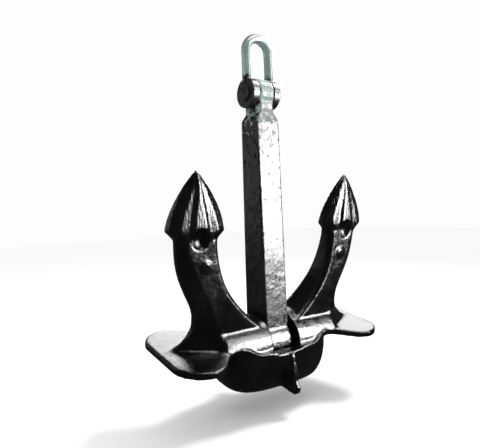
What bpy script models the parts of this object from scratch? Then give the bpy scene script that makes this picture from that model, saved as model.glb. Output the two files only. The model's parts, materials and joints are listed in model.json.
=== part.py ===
"""Stockless ship anchor, about 0.45 tonne, hanging by its shackle.

Metres, +Z up, +X along the crown pin, -Y to the front. The origin is the hang point: the inside of the
bow's crown, where a chain link bears. The crown hangs a little tilted about its pin, as it does on a crane.
"""

import math

import bmesh
import bpy
from mathutils import Matrix, Vector

# ---------------------------------------------------------------- driving sizes
GAP = 0.0003                 # between pieces that touch

BAR_RADIUS = 0.0190          # round bar of the shackle's bow
BOW_HALF_WIDTH = 0.0535      # centre of a bow leg from the middle
BOW_REACH = 0.1960           # shackle pin up to the inside of the bow
EYE_RADIUS = 0.0570          # outside of a shackle eye
EYE_INNER = 0.0345           # inner face of an eye from the middle
EYE_OUTER = 0.0655           # outer face of an eye from the middle
SHACKLE_PIN_RADIUS = 0.0210
PIN_HEAD_RADIUS = 0.0300
PIN_HEAD_THICKNESS = 0.0080
TAPER_PIN_RADIUS = 0.0050    # middle of the taper pin that locks the shackle pin
TAPER_PIN_CONE = 0.0008      # how much its radius grows or shrinks from the middle to an end
LEAD_PLUG_DEPTH = 0.0100

PIN_TO_PIN = 0.9690          # shackle pin down to the crown pin
SHANK_HALF_WIDTH = 0.0540
SHANK_HALF_DEPTH_TOP = 0.0520
SHANK_HALF_DEPTH_FOOT = 0.0660
SHANK_FOOT_RADIUS = 0.0900   # round boss that turns on the crown pin
SHANK_HEAD_RADIUS = 0.0580
SHANK_NECK_DEPTH = 0.0480
SHOULDER_DROP = 0.1020       # shackle pin down to where the full section starts
SHOULDER_HEIGHT = 0.0280
SHANK_EDGE = 0.0060          # bevel along the shank's corners

CROWN_PIN_RADIUS = 0.0450
CROWN_PIN_HALF_LENGTH = 0.1500
PIN_CLEARANCE = 0.0010       # crown pin in the shank's foot, on the radius
REST_TILT = math.radians(9.0)
SWING_LIMIT = math.radians(42.0)

BARREL_RADIUS = 0.1180       # boss around the crown pin
BARREL_HALF_LENGTH = 0.2750
SLOT_SIDE_CLEARANCE = 0.0070
SLOT_FOOT_CLEARANCE = 0.0035

ROOT_HALF_DEPTH = 0.0640     # arm at its root, front to back
NECK_HALF_DEPTH = 0.0355     # arm just under the palm
PALM_HEIGHT = 0.6640         # bill above the crown pin
PALM_BASE = 0.4600           # widest line of the palm above the crown pin
PALM_NECK = PALM_BASE - 0.03 # top of the arm
ARM_NECK_INNER = 0.2710      # the arm's two edges there, from the middle
ARM_NECK_OUTER = 0.4270
PALM_INNER = 0.2420          # inner corner of the palm from the middle
PALM_OUTER = 0.4580          # outer corner of the palm from the middle
BILL_X = 0.3540              # the bill's point from the middle
PALM_THICKNESS = 0.0365      # half of it, at the base
PALM_EDGE = 0.0200           # half of the edge left around the palm
KEEL_HEIGHT = 0.0100         # raised rib on the palm's face
KEEL_HALF_WIDTH = 0.0300
DIMPLE_RADIUS = 0.0340
DIMPLE_DEPTH = 0.0180
BOSS_RADIUS = 0.0180
BOSS_HEIGHT = 0.0045

EAR_REACH = 0.4720           # outer end of a tripping palm from the middle
EAR_HALF_DEPTH = 0.2000
EAR_TOP = 0.0430
EAR_THICKNESS = 0.0250
EAR_CORNER = 0.0980

BOWL_HALF_LENGTH = 0.2380
BOWL_HALF_DEPTH = 0.1450
BASE_HALF_LENGTH = 0.1850
BASE_HALF_DEPTH = 0.1000
BASE_DROP = 0.1420           # flat base below the crown pin
LIP_HEIGHT = 0.0180          # lip above the crown pin, in the middle
FIN_HALF_THICKNESS = 0.0090

KEEPER_DEPTH = 0.1200        # bottom of the pin keepers below the crown pin
KEEPER_INNER = 0.0680
LOCKING_BAR_RADIUS = 0.0130
LOCKING_BAR_DROP = 0.0900
BAR_BITE = 0.0300            # how far a locking bar goes into the bowl's front wall
LOCKING_BAR_SPREAD = (0.0900, 0.1280)

SHACKLE_PIN_Z = -BOW_REACH
CROWN_PIN_Z = SHACKLE_PIN_Z - PIN_TO_PIN
POCKET_HALF_DEPTH = CROWN_PIN_RADIUS + GAP
SLOT_HALF_WIDTH = SHANK_HALF_WIDTH + SLOT_SIDE_CLEARANCE

# ---------------------------------------------------------------- scene
for old in list(bpy.data.objects):
    bpy.data.objects.remove(old, do_unlink=True)

PARTS = bpy.data.collections.new("stockless_anchor")
SHAPES = bpy.data.collections.new("construction_shapes")
for collection in (PARTS, SHAPES):
    bpy.context.scene.collection.children.link(collection)


def finish(name, colour, roughness, metallic):
    """A plain paint or metal for one part."""
    material = bpy.data.materials.new(name)
    material.use_nodes = True
    shader = material.node_tree.nodes["Principled BSDF"]
    shader.inputs["Base Color"].default_value = (*colour, 1.0)
    shader.inputs["Roughness"].default_value = roughness
    shader.inputs["Metallic"].default_value = metallic
    return material


BLACK_ENAMEL = finish("black_enamel", (0.012, 0.012, 0.014), 0.30, 0.0)
BARE_STEEL = finish("bare_steel", (0.45, 0.47, 0.48), 0.38, 1.0)
GREY_PAINT = finish("grey_green_paint", (0.30, 0.36, 0.37), 0.35, 0.0)
LEAD = finish("lead", (0.25, 0.25, 0.27), 0.6, 1.0)


def add_object(name, bm, material=None, parent=None, location=(0, 0, 0), smooth=None):
    """Turns a bmesh into an object; with no material it is a construction shape."""
    bmesh.ops.recalc_face_normals(bm, faces=bm.faces)
    mesh = bpy.data.meshes.new(name)
    bm.to_mesh(mesh)
    bm.free()
    obj = bpy.data.objects.new(name, mesh)
    obj.location = location
    obj.parent = parent
    if material:
        mesh.materials.append(material)
        PARTS.objects.link(obj)
    else:
        obj.hide_render = True
        obj.display_type = "WIRE"
        SHAPES.objects.link(obj)
    if smooth is not None:
        mesh.shade_smooth()
        mesh.set_sharp_from_angle(angle=math.radians(smooth))
    return obj


def combine(target, other, operation):
    """Joins another shape to the target, or cuts the target with it."""
    modifier = target.modifiers.new(f"{operation.lower()}_{other.name}", "BOOLEAN")
    modifier.operation = operation
    modifier.object = other
    modifier.solver = "EXACT"


def bevel(target, width, segments=2, angle=35.0):
    """Rounds the target's sharp edges."""
    modifier = target.modifiers.new("rounded_edges", "BEVEL")
    modifier.width = width
    modifier.segments = segments
    modifier.limit_method = "ANGLE"
    modifier.angle_limit = math.radians(angle)


def box(lows, highs):
    """A box between two corners."""
    bm = bmesh.new()
    bmesh.ops.create_cube(bm, size=1.0)
    size = Vector(highs) - Vector(lows)
    middle = (Vector(highs) + Vector(lows)) / 2
    bmesh.ops.transform(bm, matrix=Matrix.Translation(middle) @ Matrix.Diagonal((*size, 1)), verts=bm.verts)
    return bm


def rod(start, end, radius, axis, end_radius=None, segments=32, centre=(0, 0)):
    """A round bar along axis X or Y, from start to end; centre gives its other two coordinates."""
    bm = bmesh.new()
    last = radius if end_radius is None else end_radius
    bmesh.ops.create_cone(
        bm, cap_ends=True, segments=segments, radius1=radius, radius2=last, depth=end - start)
    turn = Matrix.Rotation(math.pi / 2, 4, "Y") if axis == "X" else Matrix.Rotation(-math.pi / 2, 4, "X")
    middle = (start + end) / 2
    place = Vector((middle, *centre)) if axis == "X" else Vector((centre[0], middle, centre[1]))
    bmesh.ops.transform(bm, matrix=Matrix.Translation(place) @ turn, verts=bm.verts)
    return bm


def loft(rings):
    """A closed solid through rings that all have the same number of points."""
    bm = bmesh.new()
    rows = [[bm.verts.new(point) for point in ring] for ring in rings]
    count = len(rows[0])
    for lower, upper in zip(rows, rows[1:]):
        for i in range(count):
            j = (i + 1) % count
            bm.faces.new((lower[i], lower[j], upper[j], upper[i]))
    bm.faces.new(rows[0])
    bm.faces.new(rows[-1])
    return bm


def plate(points, thickness_axis, low, high):
    """A flat outline given thickness along X, Y or Z; the points are the other two coordinates in order."""
    index = "XYZ".index(thickness_axis)

    def place(point, at):
        values = list(point)
        values.insert(index, at)
        return Vector(values)

    return loft([[place(p, low) for p in points], [place(p, high) for p in points]])


def smooth_value(table, height):
    """Reads a table of (height, value) with a smooth curve through its points."""
    heights = [row[0] for row in table]
    values = [row[1] for row in table]
    if height <= heights[0]:
        return values[0]
    if height >= heights[-1]:
        return values[-1]
    i = max(k for k in range(len(heights) - 1) if heights[k] <= height)

    def slope(k):
        low, high = max(k - 1, 0), min(k + 1, len(heights) - 1)
        return (values[high] - values[low]) / (heights[high] - heights[low])

    step = heights[i + 1] - heights[i]
    t = (height - heights[i]) / step
    return ((2 * t**3 - 3 * t**2 + 1) * values[i] + (t**3 - 2 * t**2 + t) * step * slope(i)
            + (3 * t**2 - 2 * t**3) * values[i + 1] + (t**3 - t**2) * step * slope(i + 1))


# ---------------------------------------------------------------- shackle: bow, pin, taper pin, lead plugs
shackle_axis = bpy.data.objects.new("shackle_axis", None)
shackle_axis.location = (0, 0, SHACKLE_PIN_Z)
PARTS.objects.link(shackle_axis)

bow_centre_height = BOW_REACH + BAR_RADIUS - BOW_HALF_WIDTH
curve = bpy.data.curves.new("bow_line", "CURVE")
curve.dimensions = "3D"
curve.bevel_depth = BAR_RADIUS
curve.bevel_resolution = 4
curve.use_fill_caps = True
arc_steps = 14
bow_line = [(-BOW_HALF_WIDTH, 0, 0)]
for step in range(arc_steps + 1):
    angle = math.pi - math.pi * step / arc_steps
    rise = BOW_HALF_WIDTH * math.sin(angle)
    bow_line.append((BOW_HALF_WIDTH * math.cos(angle), 0, bow_centre_height + rise))
bow_line.append((BOW_HALF_WIDTH, 0, 0))
spline = curve.splines.new("POLY")
spline.points.add(len(bow_line) - 1)
for spot, place in zip(spline.points, bow_line):
    spot.co = (*place, 1)
bow_curve = bpy.data.objects.new("bow_curve", curve)
SHAPES.objects.link(bow_curve)
bpy.context.view_layer.update()
bow_mesh = bpy.data.meshes.new_from_object(bow_curve.evaluated_get(bpy.context.evaluated_depsgraph_get()))
bow_bm = bmesh.new()
bow_bm.from_mesh(bow_mesh)
bmesh.ops.remove_doubles(bow_bm, verts=bow_bm.verts, dist=0.00001)
bpy.data.objects.remove(bow_curve, do_unlink=True)
shackle_bow = add_object("shackle_bow", bow_bm, GREY_PAINT, shackle_axis, smooth=40)

for side, sign in (("left", -1), ("right", 1)):
    low, high = sorted((sign * EYE_INNER, sign * EYE_OUTER))
    eye = add_object(f"eye_{side}", rod(low, high, EYE_RADIUS, "X", segments=40), None, shackle_axis)
    combine(shackle_bow, eye, "UNION")
    face = sorted((sign * EYE_OUTER, sign * 0.1))
    spot_face = add_object(
        f"spot_face_{side}",
        box((face[0], -0.1, -0.1), (face[1], 0.1, PIN_HEAD_RADIUS + 0.004)), None, shackle_axis)
    combine(shackle_bow, spot_face, "DIFFERENCE")
shackle_bore = add_object(
    "shackle_bore", rod(-0.12, 0.12, SHACKLE_PIN_RADIUS + GAP, "X"), None, shackle_axis)
combine(shackle_bow, shackle_bore, "DIFFERENCE")
inner_trim = add_object(
    "inner_trim", box((-EYE_INNER, -0.1, -0.1), (EYE_INNER, 0.1, EYE_RADIUS + 0.02)), None, shackle_axis)
combine(shackle_bow, inner_trim, "DIFFERENCE")

PIN_END = EYE_OUTER + 0.006
pin_bm = rod(-EYE_OUTER - GAP - PIN_HEAD_THICKNESS, PIN_END, SHACKLE_PIN_RADIUS, "X")
shackle_pin = add_object("shackle_pin", pin_bm, BARE_STEEL, shackle_axis, smooth=40)
pin_head = add_object(
    "pin_head",
    rod(-EYE_OUTER - GAP - PIN_HEAD_THICKNESS, -EYE_OUTER - GAP, PIN_HEAD_RADIUS, "X"), None, shackle_axis)
combine(shackle_pin, pin_head, "UNION")

lock_x = (EYE_INNER + EYE_OUTER) / 2
lock_end = EYE_RADIUS - LEAD_PLUG_DEPTH


def taper_rod(extra, reach):
    """The taper pin's shape along Y, with extra on its radius, out to reach each way."""
    cone = TAPER_PIN_CONE * reach / lock_end
    return rod(-reach, reach, TAPER_PIN_RADIUS + extra - cone, "Y",
               end_radius=TAPER_PIN_RADIUS + extra + cone, segments=16, centre=(lock_x, 0))


taper_hole = add_object("taper_hole", taper_rod(GAP, EYE_RADIUS * 1.2), None, shackle_axis)
combine(shackle_bow, taper_hole, "DIFFERENCE")
combine(shackle_pin, taper_hole, "DIFFERENCE")
add_object("shackle_taper_pin", taper_rod(0, lock_end), BARE_STEEL, shackle_axis, smooth=40)

for side, sign in (("front", -1), ("back", 1)):
    near, far = sorted((sign * (lock_end + GAP), sign * (EYE_RADIUS - 0.001)))
    plug = rod(near, far, TAPER_PIN_RADIUS + sign * TAPER_PIN_CONE, "Y", segments=16, centre=(lock_x, 0))
    add_object(f"lead_plug_{side}", plug, LEAD, shackle_axis, smooth=40)

# ---------------------------------------------------------------- shank
body_top = PIN_TO_PIN - SHOULDER_DROP
neck_bottom = body_top + SHOULDER_HEIGHT
neck_half_width = EYE_INNER - 0.001


def arc(centre, radius, start, end, steps):
    """Points on a circle between two angles in degrees."""
    points = []
    for k in range(steps + 1):
        angle = math.radians(start + (end - start) * k / steps)
        points.append((centre[0] + radius * math.cos(angle), centre[1] + radius * math.sin(angle)))
    return points


shank_axis = bpy.data.objects.new("shank_axis", None)
shank_axis.location = (0, 0, CROWN_PIN_Z)
PARTS.objects.link(shank_axis)

# The side view: a round foot, a body that tapers upwards, a neck and a round head.
foot_turn = math.degrees(math.acos(SHANK_HALF_DEPTH_FOOT / SHANK_FOOT_RADIUS))
head_turn = math.degrees(math.acos(SHANK_NECK_DEPTH / SHANK_HEAD_RADIUS))
side_view = arc((0, 0), SHANK_FOOT_RADIUS, 180 - foot_turn, 360 + foot_turn, 26)
side_view += [(SHANK_HALF_DEPTH_TOP, body_top - 0.012), (SHANK_NECK_DEPTH, neck_bottom + 0.006)]
side_view += arc((0, PIN_TO_PIN), SHANK_HEAD_RADIUS, -head_turn, 180 + head_turn, 26)
side_view += [(-SHANK_NECK_DEPTH, neck_bottom + 0.006), (-SHANK_HALF_DEPTH_TOP, body_top - 0.012)]
shank = add_object(
    "shank", plate(side_view, "X", -SHANK_HALF_WIDTH, SHANK_HALF_WIDTH), BLACK_ENAMEL, shank_axis, smooth=40)
slope = (SHANK_HALF_WIDTH - neck_half_width) / SHOULDER_HEIGHT
for side, sign in (("left", -1), ("right", 1)):
    waste = [(neck_half_width, neck_bottom), (neck_half_width, PIN_TO_PIN + 0.1), (0.1, PIN_TO_PIN + 0.1),
             (0.1, neck_bottom - (0.1 - neck_half_width) / slope)]
    front_view = [(sign * x, z) for x, z in waste]
    shoulder = add_object(f"shoulder_{side}", plate(front_view, "Y", -0.1, 0.1), None, shank_axis)
    combine(shank, shoulder, "DIFFERENCE")
bevel(shank, SHANK_EDGE)
shank_foot_bore = add_object(
    "shank_foot_bore", rod(-0.12, 0.12, CROWN_PIN_RADIUS + PIN_CLEARANCE, "X", segments=48), None, shank_axis)
combine(shank, shank_foot_bore, "DIFFERENCE")
shank_head_bore = add_object(
    "shank_head_bore", rod(-0.12, 0.12, SHACKLE_PIN_RADIUS + PIN_CLEARANCE, "X", centre=(0, PIN_TO_PIN)),
    None, shank_axis)
combine(shank, shank_head_bore, "DIFFERENCE")

# ---------------------------------------------------------------- crown: one casting
crown_axis = bpy.data.objects.new("crown_axis", None)
crown_axis.location = (0, 0, CROWN_PIN_Z)
crown_axis.rotation_euler = (REST_TILT, 0, 0)
PARTS.objects.link(crown_axis)


def oval(half_x, half_y, z, power=3.2, count=48):
    """A level ring between an oval and a rounded rectangle."""
    ring = []
    for i in range(count):
        angle = 2 * math.pi * (i + 0.5) / count
        c, s = math.cos(angle), math.sin(angle)
        ring.append((half_x * math.copysign(abs(c) ** (2 / power), c),
                     half_y * math.copysign(abs(s) ** (2 / power), s), z))
    return ring


# The bowl under the crown: widest a little below the pin, rounded in towards its rim and its flat base.
BOWL_RIM = EAR_TOP + 0.0005
BOWL_WIDEST = -0.020
SHOULDER_LENGTH = 0.014      # how far the rim draws in at the ends
SHOULDER_DEPTH = 0.010       # and in front and behind
bowl_rings = []
for z in (BOWL_RIM, 0.034, 0.024, LIP_HEIGHT + 0.002, 0.010, -0.004, BOWL_WIDEST):
    draw = ((z - BOWL_WIDEST) / (BOWL_RIM - BOWL_WIDEST)) ** 2
    bowl_rings.append(
        oval(BOWL_HALF_LENGTH - SHOULDER_LENGTH * draw, BOWL_HALF_DEPTH - SHOULDER_DEPTH * draw, z))
side_steps = 8
for step in range(1, side_steps + 1):
    t = step / side_steps
    swell = math.sqrt(max(0.0, 1 - t**2.2))
    z = BOWL_WIDEST - (BASE_DROP + BOWL_WIDEST) * t
    bowl_rings.append(oval(BASE_HALF_LENGTH + (BOWL_HALF_LENGTH - BASE_HALF_LENGTH) * swell,
                           BASE_HALF_DEPTH + (BOWL_HALF_DEPTH - BASE_HALF_DEPTH) * swell, z))
crown = add_object("crown_casting", loft(bowl_rings), BLACK_ENAMEL, crown_axis, smooth=35)

# The rim dips in the middle, front and back, to let the shank swing.
DIP_HALF_WIDTH = 0.120
DIP_RUN = 0.085
dip_line = [(-DIP_HALF_WIDTH - DIP_RUN, BOWL_RIM + 0.02)]
for sign in (-1, 1):
    for k in range(7):
        t = k / 6 if sign < 0 else 1 - k / 6
        drop = (1 + math.cos(math.pi * t)) / 2
        x = sign * (DIP_HALF_WIDTH + DIP_RUN * (1 - t))
        dip_line.append((x, LIP_HEIGHT + (BOWL_RIM + 0.001 - LIP_HEIGHT) * drop))
dip_line.append((DIP_HALF_WIDTH + DIP_RUN, BOWL_RIM + 0.02))
dip = add_object("rim_dip", plate([(x, z) for x, z in dip_line], "Y", -0.2, 0.2), None, crown_axis)
combine(crown, dip, "DIFFERENCE")

# The barrel around the pin is round inside the bowl, and a half-round ridge where it runs out over the ears.
BARREL_CORE = 0.80           # how much of the bowl's length the round part takes
core_half_length = BOWL_HALF_LENGTH * BARREL_CORE
barrel_core = add_object(
    "barrel_core", rod(-core_half_length, core_half_length, BARREL_RADIUS, "X", segments=64),
    None, crown_axis)
combine(crown, barrel_core, "UNION")
ridge_bottom = EAR_TOP - 0.006
ridge_turn = math.degrees(math.asin(ridge_bottom / (BARREL_RADIUS - 0.0004)))
barrel_ridge = add_object(
    "barrel_ridge",
    plate(arc((0, 0), BARREL_RADIUS - 0.0004, ridge_turn, 180 - ridge_turn, 30), "X",
          -BARREL_HALF_LENGTH, BARREL_HALF_LENGTH),
    None, crown_axis)
combine(crown, barrel_ridge, "UNION")

# Each arm, its palm and its prow-like root are one tapering limb.
ARM_ROOT = 0.130


def up_arm(share):
    """A height between the arm's root and its neck."""
    return ARM_ROOT + (PALM_NECK - ARM_ROOT) * share


def up_palm(share):
    """A height between the palm's widest line and the bill."""
    return PALM_BASE + (PALM_HEIGHT - PALM_BASE) * share


ARM_INNER = [(-0.02, SLOT_HALF_WIDTH), (0.085, SLOT_HALF_WIDTH + 0.002), (0.10, SLOT_HALF_WIDTH + 0.024),
             (ARM_ROOT, 0.125), (up_arm(0.10), 0.158), (up_arm(0.23), 0.194), (up_arm(0.40), 0.230),
             (up_arm(0.57), 0.252), (up_arm(0.73), 0.264), (up_arm(0.90), ARM_NECK_INNER),
             (PALM_NECK, ARM_NECK_INNER)]
ARM_OUTER = [(-0.02, 0.411), (0.055, 0.411), (0.066, 0.397), (0.085, 0.372), (0.11, 0.354), (ARM_ROOT, 0.347),
             (up_arm(0.05), 0.345), (up_arm(0.17), 0.352), (up_arm(0.37), 0.381), (up_arm(0.57), 0.407),
             (up_arm(0.77), 0.421), (PALM_NECK, ARM_NECK_OUTER)]
ARM_DEPTH = [(-0.02, 0.080), (0.05, 0.076), (0.09, 0.069), (ARM_ROOT, ROOT_HALF_DEPTH), (up_arm(0.23), 0.057),
             (up_arm(0.47), 0.0495), (up_arm(0.70), 0.0430), (up_arm(0.90), 0.0375),
             (PALM_NECK, NECK_HALF_DEPTH)]
OUTER_EDGE = [(-0.02, 0.006), (0.06, 0.006), (0.11, 0.012), (up_arm(0.23), 0.014), (up_arm(0.77), 0.014),
              (PALM_NECK, 0.014)]
PROW = [(-0.02, 0.130), (0.06, 0.120), (0.10, 0.075), (0.14, 0.055), (up_arm(0.30), 0.055),
        (up_arm(0.67), 0.045), (PALM_NECK, 0.024)]
# How far the palm's edge has drawn in from the corner to the bill's line, going up.
PALM_DRAW = [(0.0, 0.0), (0.15, 0.045), (0.39, 0.205), (0.69, 0.515), (0.88, 0.77), (1.0, 0.965)]


def palm_edge_at(z, corner, neck):
    """The palm's inner or outer edge at one height."""
    if z < PALM_BASE:
        share = (z - PALM_NECK) / (PALM_BASE - PALM_NECK)
        return neck + (corner - neck) * share**1.2
    share = (z - PALM_BASE) / (PALM_HEIGHT - PALM_BASE)
    return corner + (BILL_X - corner) * smooth_value(PALM_DRAW, share)


PALM_DEPTH = [(PALM_NECK, NECK_HALF_DEPTH), (PALM_BASE, PALM_THICKNESS), (up_palm(0.49), 0.027),
              (up_palm(0.83), 0.017), (PALM_HEIGHT, 0.006)]


def limb_ring(z, sign):
    """Sixteen points around the limb at one height: eight in front, and the same behind."""
    on_palm = z > PALM_NECK
    inner = palm_edge_at(z, PALM_INNER, ARM_NECK_INNER) if on_palm else smooth_value(ARM_INNER, z)
    outer = palm_edge_at(z, PALM_OUTER, ARM_NECK_OUTER) if on_palm else smooth_value(ARM_OUTER, z)
    depth = smooth_value(PALM_DEPTH if on_palm else ARM_DEPTH, z)
    width = outer - inner
    if on_palm:
        share = (z - PALM_NECK) / (PALM_HEIGHT - PALM_NECK)
        edge = min(PALM_EDGE * (1 - share) ** 0.6, depth * 0.6)
        slope_in = slope_out = min(0.034, width * 0.24)
        keel = min(KEEL_HALF_WIDTH, width * 0.16) * (1.05 - share)
        rise = KEEL_HEIGHT * min(1.0, share * 6) * (1 - share) ** 0.5
    else:
        edge = smooth_value(OUTER_EDGE, z)
        slope_in = 0.014
        slope_out = smooth_value(PROW, z)
        keel = width * 0.12
        rise = 0.0
    middle = (inner + slope_in + outer - slope_out) / 2
    foot = keel + min(0.008, width * 0.08) if on_palm else keel * 1.5
    inner_edge = edge if on_palm else depth - slope_in
    front = [(inner, inner_edge), (inner + slope_in, depth), (middle - foot, depth),
             (middle - keel, depth + rise), (middle + keel, depth + rise), (middle + foot, depth),
             (outer - slope_out, depth), (outer, edge)]
    ring = [(sign * x, -y, z) for x, y in front]
    ring += [(sign * x, y, z) for x, y in reversed(front)]
    return ring


arm_heights = [EAR_TOP - EAR_THICKNESS / 2, 0.045, 0.055, 0.066, 0.078, 0.09, 0.105, 0.118]
arm_heights += [up_arm(k / 11) for k in range(12)]
palm_heights = [PALM_NECK + (PALM_BASE - PALM_NECK) * share for share in (0.27, 0.53, 0.77)]
palm_heights += [up_palm(share) for share in (0, 0.07, 0.2, 0.34, 0.49, 0.64, 0.76, 0.88, 1)]
for side, sign in (("left", -1), ("right", 1)):
    limb = add_object(
        f"limb_{side}", loft([limb_ring(z, sign) for z in arm_heights + palm_heights]), None, crown_axis)
    combine(crown, limb, "UNION")

# Tripping palms: flat ears with rounded ends.
EAR_ROOT = 0.150
WAIST = [(EAR_ROOT, EAR_HALF_DEPTH * 0.51), (EAR_REACH * 0.50, EAR_HALF_DEPTH * 0.53),
         (EAR_REACH * 0.56, EAR_HALF_DEPTH * 0.62), (EAR_REACH * 0.62, EAR_HALF_DEPTH * 0.78),
         (EAR_REACH * 0.68, EAR_HALF_DEPTH * 0.92)]


def ear_outline(sign):
    """Half of the outline in front and its mirror behind."""
    half = list(WAIST)
    turn = 10
    for k in range(turn + 1):
        angle = math.pi / 2 * (1 - k / turn)
        half.append((EAR_REACH - EAR_CORNER + EAR_CORNER * math.cos(angle) - 0.012 * math.sin(angle),
                     EAR_HALF_DEPTH - EAR_CORNER + EAR_CORNER * math.sin(angle)))
    outline = [(sign * x, -y) for x, y in half]
    outline += [(sign * x, y) for x, y in reversed(half)]
    return outline


for side, sign in (("left", -1), ("right", 1)):
    ear = add_object(
        f"ear_{side}", plate(ear_outline(sign), "Z", EAR_TOP - EAR_THICKNESS, EAR_TOP), None, crown_axis)
    combine(crown, ear, "UNION")

# Fins on the middle of the bowl, front and back.
FIN = [(0.090, 0.004), (BOWL_HALF_DEPTH + 0.008, 0.004), (BOWL_HALF_DEPTH + 0.026, -0.048),
       (BOWL_HALF_DEPTH + 0.037, -0.092), (BOWL_HALF_DEPTH + 0.052, -0.108),
       (BOWL_HALF_DEPTH + 0.052, -0.128), (BOWL_HALF_DEPTH + 0.035, -BASE_DROP + 0.001),
       (0.154, -BASE_DROP - 0.001), (0.090, -BASE_DROP + 0.003), (0.090, -0.060)]
for side, sign in (("front", -1), ("back", 1)):
    fin = add_object(
        f"fin_{side}", plate([(sign * y, z) for y, z in FIN], "X", -FIN_HALF_THICKNESS, FIN_HALF_THICKNESS),
        None, crown_axis)
    combine(crown, fin, "UNION")

# Round bosses on the arms' faces.
BOSS_PLACE = (0.325, up_arm(0.70))
for side, sign in (("left", -1), ("right", 1)):
    reach = smooth_value(ARM_DEPTH, BOSS_PLACE[1]) + BOSS_HEIGHT
    boss = add_object(
        f"boss_{side}",
        rod(-reach, reach, BOSS_RADIUS, "Y", segments=20, centre=(sign * BOSS_PLACE[0], BOSS_PLACE[1])),
        None, crown_axis)
    combine(crown, boss, "UNION")

# Slot for the shank: what its body sweeps between the two stops, with a way up from below for its foot.
swing_room = SHANK_HALF_DEPTH_FOOT + SLOT_FOOT_CLEARANCE
way_half = SHANK_FOOT_RADIUS + SLOT_FOOT_CLEARANCE
ledge = LIP_HEIGHT - 0.008
ledge_start = (swing_room + ledge * math.sin(SWING_LIMIT)) / math.cos(SWING_LIMIT)
way_top = (way_half * math.cos(SWING_LIMIT) - swing_room) / math.sin(SWING_LIMIT)
slot_half = [(0.30, 0.40), (0.30, ledge), (ledge_start, ledge), (way_half, way_top), (way_half, -0.25)]
slot_line = [(-y, z) for y, z in slot_half] + list(reversed(slot_half))
slot = add_object("shank_slot", plate(slot_line, "X", -SLOT_HALF_WIDTH, SLOT_HALF_WIDTH), None, crown_axis)
combine(crown, slot, "DIFFERENCE")

# Pocket from below that takes the pin up to its round seat, and then the keepers.
pocket_half_length = CROWN_PIN_HALF_LENGTH + 0.002
pocket_line = [(-POCKET_HALF_DEPTH, -0.25)]
for k in range(25):
    angle = math.pi - math.pi * k / 24
    pocket_line.append((POCKET_HALF_DEPTH * math.cos(angle), POCKET_HALF_DEPTH * math.sin(angle)))
pocket_line.append((POCKET_HALF_DEPTH, -0.25))
pocket = add_object(
    "pin_pocket", plate(pocket_line, "X", -pocket_half_length, pocket_half_length), None, crown_axis)
combine(crown, pocket, "DIFFERENCE")

# Hollow dimples under the palms, front and back.
dimple_sphere = (DIMPLE_RADIUS**2 + DIMPLE_DEPTH**2) / (2 * DIMPLE_DEPTH)
DIMPLE_PLACE = ((ARM_NECK_INNER + ARM_NECK_OUTER) / 2 - 0.002, PALM_NECK + 0.004)
for face, turn in (("front", -1), ("back", 1)):
    for side, sign in (("left", -1), ("right", 1)):
        bm = bmesh.new()
        bmesh.ops.create_uvsphere(bm, u_segments=24, v_segments=14, radius=dimple_sphere)
        depth = smooth_value(ARM_DEPTH, DIMPLE_PLACE[1])
        centre = (sign * DIMPLE_PLACE[0], turn * (depth + dimple_sphere - DIMPLE_DEPTH), DIMPLE_PLACE[1])
        bmesh.ops.transform(
            bm, matrix=Matrix.Translation(centre) @ Matrix.Rotation(math.pi / 2, 4, "X"), verts=bm.verts)
        dimple = add_object(f"dimple_{face}_{side}", bm, None, crown_axis)
        combine(crown, dimple, "DIFFERENCE")

# Blind cross holes, drilled from the back, and the locking bars in them, which hold the keepers up.
bar_front = -(CROWN_PIN_RADIUS + BAR_BITE)
bar_back = BASE_HALF_DEPTH + (BOWL_HALF_DEPTH - BASE_HALF_DEPTH) * 0.5
for side, sign in (("left", -1), ("right", 1)):
    for place, x in zip(("inner", "outer"), LOCKING_BAR_SPREAD):
        spot = (sign * x, -LOCKING_BAR_DROP)
        hole = add_object(
            f"bar_hole_{side}_{place}",
            rod(bar_front - GAP, 0.2, LOCKING_BAR_RADIUS + GAP, "Y", segments=20, centre=spot),
            None, crown_axis)
        combine(crown, hole, "DIFFERENCE")
        bar = rod(bar_front, bar_back, LOCKING_BAR_RADIUS, "Y", segments=20, centre=spot)
        add_object(f"locking_bar_{side}_{place}", bar, BARE_STEEL, crown_axis, smooth=40)

# ---------------------------------------------------------------- crown pin and its keepers
crown_pin = add_object(
    "crown_pin", rod(-CROWN_PIN_HALF_LENGTH, CROWN_PIN_HALF_LENGTH, CROWN_PIN_RADIUS, "X", segments=48),
    BARE_STEEL, crown_axis, smooth=40)
bevel(crown_pin, 0.003, segments=1, angle=60)
for side, sign in (("left", -1), ("right", 1)):
    low, high = sorted((sign * KEEPER_INNER, sign * (CROWN_PIN_HALF_LENGTH - GAP)))
    keeper = add_object(
        f"pin_keeper_{side}",
        box((low, -CROWN_PIN_RADIUS, -KEEPER_DEPTH), (high, CROWN_PIN_RADIUS, -CROWN_PIN_RADIUS * 0.4)),
        BLACK_ENAMEL, crown_axis, smooth=35)
    saddle = add_object(
        f"saddle_{side}", rod(-0.2, 0.2, CROWN_PIN_RADIUS + GAP, "X", segments=48), None, crown_axis)
    combine(keeper, saddle, "DIFFERENCE")
    for place in ("inner", "outer"):
        combine(keeper, SHAPES.objects[f"bar_hole_{side}_{place}"], "DIFFERENCE")
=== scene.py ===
# %% [markdown]
# # A stockless ship anchor, hanging by its shackle
# This file dresses a finished mechanical model: a shackle, a square shank and a heavy cast crown that swings
# on a pin. The mechanical model stays where it is. Here each piece gets the surface of the real one, such as
# the soft corners of a sand casting and thick glossy black paint over rough steel.

# %% Load the mechanical model
import json
import math

import bmesh
import bpy
from mathutils import Matrix, Vector
from mathutils.bvhtree import BVHTree


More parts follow.
